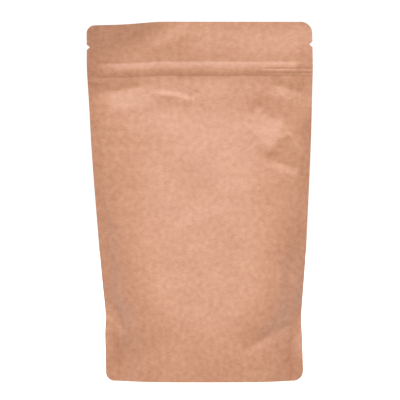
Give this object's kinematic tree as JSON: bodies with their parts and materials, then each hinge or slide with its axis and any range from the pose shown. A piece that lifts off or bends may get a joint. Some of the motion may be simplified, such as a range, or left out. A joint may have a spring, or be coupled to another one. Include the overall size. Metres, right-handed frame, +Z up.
{
  "type": "kraft stand-up pouch",
  "caption": "Filled kraft paper stand-up pouch: welded sides, press-to-close strip, tear notches and an opened bottom gusset that it stands on.",
  "frame": {"origin": "on the floor, at the middle of the bounding box", "axes": "+Z up, +X to the right as seen from the front, the front wall towards -Y"},
  "size_m": [0.1298, 0.0462, 0.206],
  "materials": {
    "kraft_paper": "matte natural kraft paper, laminated, with fine fibre mottling"
  },
  "bodies": {
    "root": {"pouch": "kraft_paper"}
  },
  "joints": []
}
